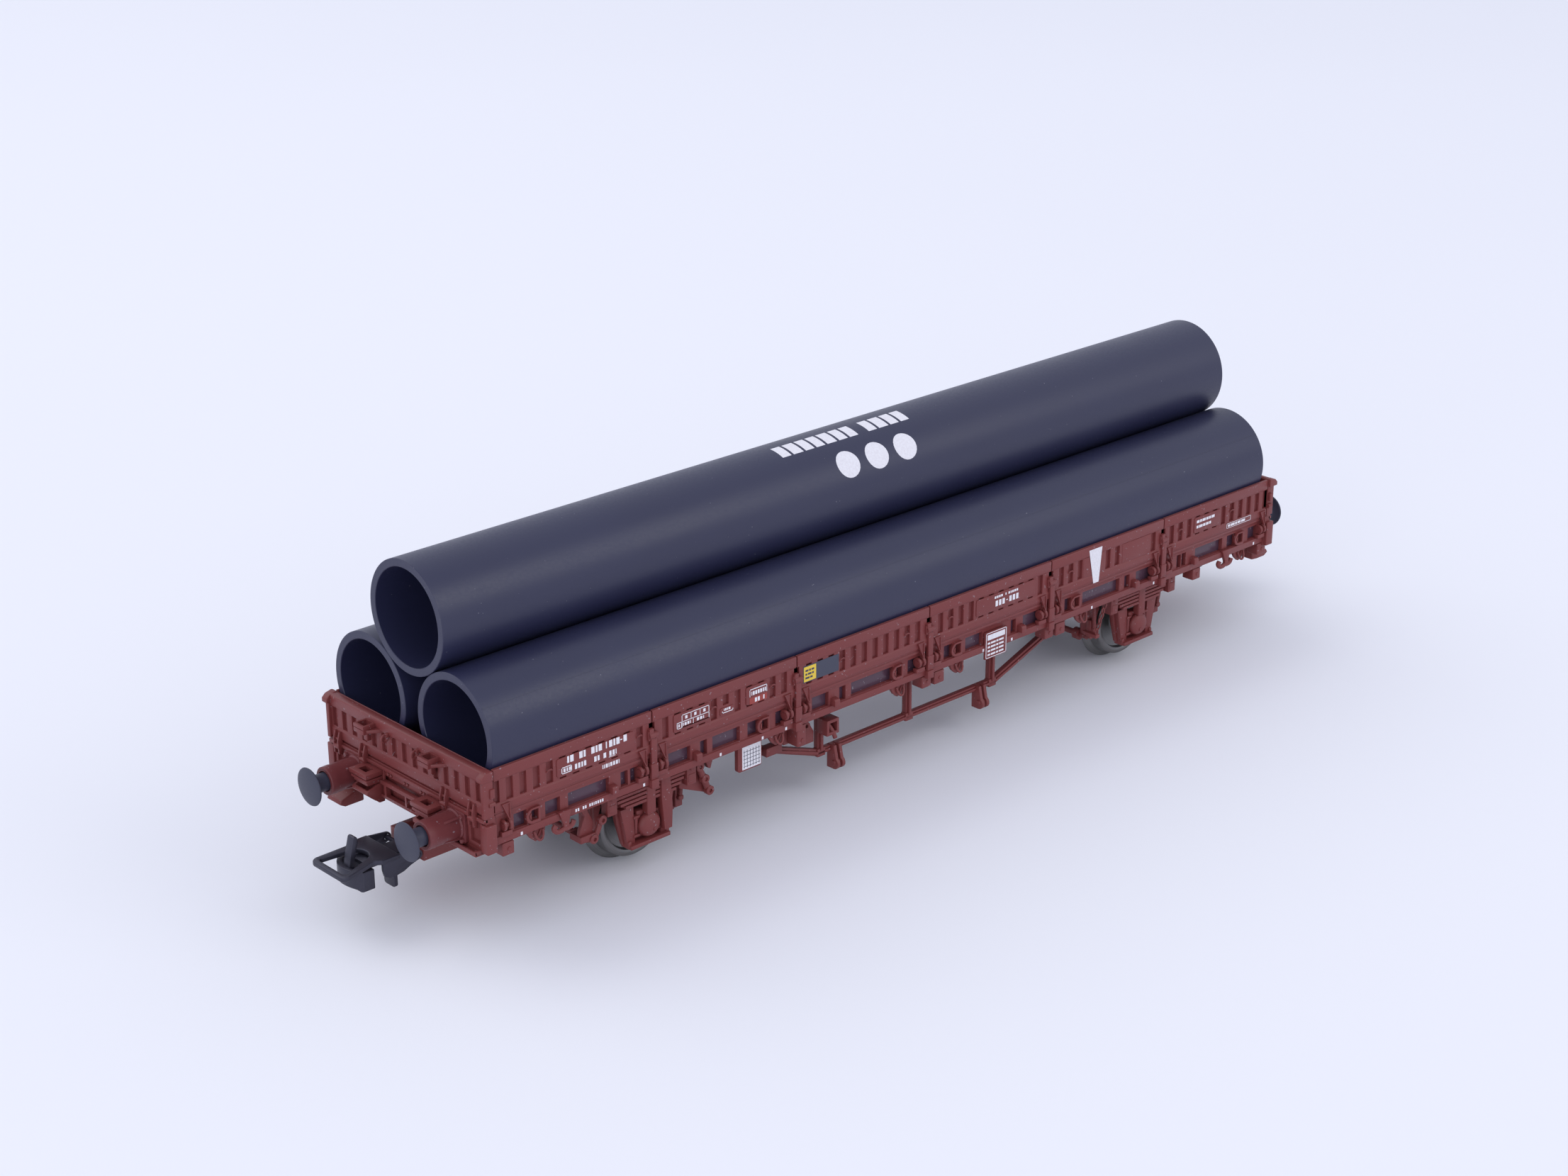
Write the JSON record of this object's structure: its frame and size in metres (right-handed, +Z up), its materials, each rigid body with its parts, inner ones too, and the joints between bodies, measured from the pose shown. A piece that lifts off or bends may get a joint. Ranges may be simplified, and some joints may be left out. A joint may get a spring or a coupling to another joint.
{
  "type": "model flat car",
  "caption": "Two-axle H0 drop-side flat car with loop couplers, sprung buffers and a pyramid of three open pipes.",
  "frame": {"origin": "on the ground, midway between the two axles and the two sides", "axes": "+X along the wagon towards its rear end, +Y to its right side, +Z up"},
  "size_m": [0.1682, 0.0322, 0.0438],
  "materials": {
    "red_brown": "moulded oxide-red plastic, satin matt",
    "pipe_black": "dark blue-black plastic, satin",
    "wheel_metal": "turned, chemically blackened",
    "coupler_metal": "blackened pressed metal",
    "buffer_black": "dark blue-grey plastic, matt",
    "ballast_steel": "bare rolled steel"
  },
  "bodies": {
    "wagon": {"floor_deck": "red_brown", "ballast_weight": "ballast_steel", "underframe_tray": "red_brown", "sole_bar_left": "red_brown", "sole_bar_right": "red_brown", "headstock_front": "red_brown", "headstock_rear": "red_brown", "side_panel_left_1": "red_brown", "side_panel_left_2": "red_brown", "side_panel_left_3": "red_brown", "side_panel_left_4": "red_brown", "side_panel_left_5": "red_brown", "side_panel_left_6": "red_brown", "side_panel_right_1": "red_brown", "side_panel_right_2": "red_brown", "side_panel_right_3": "red_brown", "side_panel_right_4": "red_brown", "side_panel_right_5": "red_brown", "side_panel_right_6": "red_brown", "end_board_front": "red_brown", "end_board_rear": "red_brown", "axle_guard_front_left": "red_brown", "axle_guard_front_right": "red_brown", "axle_guard_rear_left": "red_brown", "axle_guard_rear_right": "red_brown", "spring_and_axle_box_front_left": "red_brown", "spring_and_axle_box_front_right": "red_brown", "spring_and_axle_box_rear_left": "red_brown", "spring_and_axle_box_rear_right": "red_brown", "brake_gear_front_left": "red_brown", "brake_gear_front_right": "red_brown", "brake_gear_rear_left": "red_brown", "brake_gear_rear_right": "red_brown", "buffer_housing_front_left": "red_brown", "buffer_housing_front_right": "red_brown", "buffer_housing_rear_left": "red_brown", "buffer_housing_rear_right": "red_brown", "truss_left": "red_brown", "truss_right": "red_brown", "coupler_mount_front": "red_brown", "coupler_mount_rear": "red_brown"},
    "wheelset_front": {"wheel_front_left": "wheel_metal", "wheel_front_right": "wheel_metal", "axle_front": "wheel_metal"},
    "wheelset_rear": {"wheel_rear_left": "wheel_metal", "wheel_rear_right": "wheel_metal", "axle_rear": "wheel_metal"},
    "coupler_front": {"coupler_pocket_front": "red_brown", "coupler_hook_front": "coupler_metal"},
    "coupler_loop_front": {"coupler_loop_front": "coupler_metal"},
    "coupler_rear": {"coupler_pocket_rear": "red_brown", "coupler_hook_rear": "coupler_metal"},
    "coupler_loop_rear": {"coupler_loop_rear": "coupler_metal"},
    "buffer_front_left": {"buffer_head_front_left": "buffer_black"},
    "buffer_front_right": {"buffer_head_front_right": "buffer_black"},
    "buffer_rear_left": {"buffer_head_rear_left": "buffer_black"},
    "buffer_rear_right": {"buffer_head_rear_right": "buffer_black"},
    "pipe_load": {"pipe_left": "pipe_black", "pipe_right": "pipe_black", "pipe_top": "pipe_black"}
  },
  "joints": [
    {"name": "wheelset_front_spin", "type": "hinge", "parent": "wagon", "child": "wheelset_front", "pos_m": [-0.046, 0, 0.0063], "axis": [0, 1, 0], "continuous": true},
    {"name": "wheelset_rear_spin", "type": "hinge", "parent": "wagon", "child": "wheelset_rear", "pos_m": [0.046, 0, 0.0063], "axis": [0, 1, 0], "continuous": true},
    {"name": "coupler_front_swing", "type": "hinge", "parent": "wagon", "child": "coupler_front", "pos_m": [-0.062, 0, 0.0082], "axis": [0, 0, 1], "range_deg": [-12, 12], "stiffness_Nm_per_rad": 0.0003},
    {"name": "coupler_loop_front_lift", "type": "hinge", "parent": "coupler_front", "child": "coupler_loop_front", "pos_m": [-0.0735, 0, 0.0082], "axis": [0, 1, 0], "range_deg": [0, 35]},
    {"name": "coupler_rear_swing", "type": "hinge", "parent": "wagon", "child": "coupler_rear", "pos_m": [0.062, 0, 0.0082], "axis": [0, 0, 1], "range_deg": [-12, 12], "stiffness_Nm_per_rad": 0.0003},
    {"name": "coupler_loop_rear_lift", "type": "hinge", "parent": "coupler_rear", "child": "coupler_loop_rear", "pos_m": [0.0735, 0, 0.0082], "axis": [0, -1, 0], "range_deg": [0, 35]},
    {"name": "buffer_front_left_press", "type": "slide", "parent": "wagon", "child": "buffer_front_left", "axis": [1, 0, 0], "range_m": [0, 0.0012], "stiffness_N_per_m": 150},
    {"name": "buffer_front_right_press", "type": "slide", "parent": "wagon", "child": "buffer_front_right", "axis": [1, 0, 0], "range_m": [0, 0.0012], "stiffness_N_per_m": 150},
    {"name": "buffer_rear_left_press", "type": "slide", "parent": "wagon", "child": "buffer_rear_left", "axis": [-1, 0, 0], "range_m": [0, 0.0012], "stiffness_N_per_m": 150},
    {"name": "buffer_rear_right_press", "type": "slide", "parent": "wagon", "child": "buffer_rear_right", "axis": [-1, 0, 0], "range_m": [0, 0.0012], "stiffness_N_per_m": 150},
    {"name": "pipe_load_lift", "type": "slide", "parent": "wagon", "child": "pipe_load", "axis": [0, 0, 1], "range_m": [0, 0.03]}
  ]
}
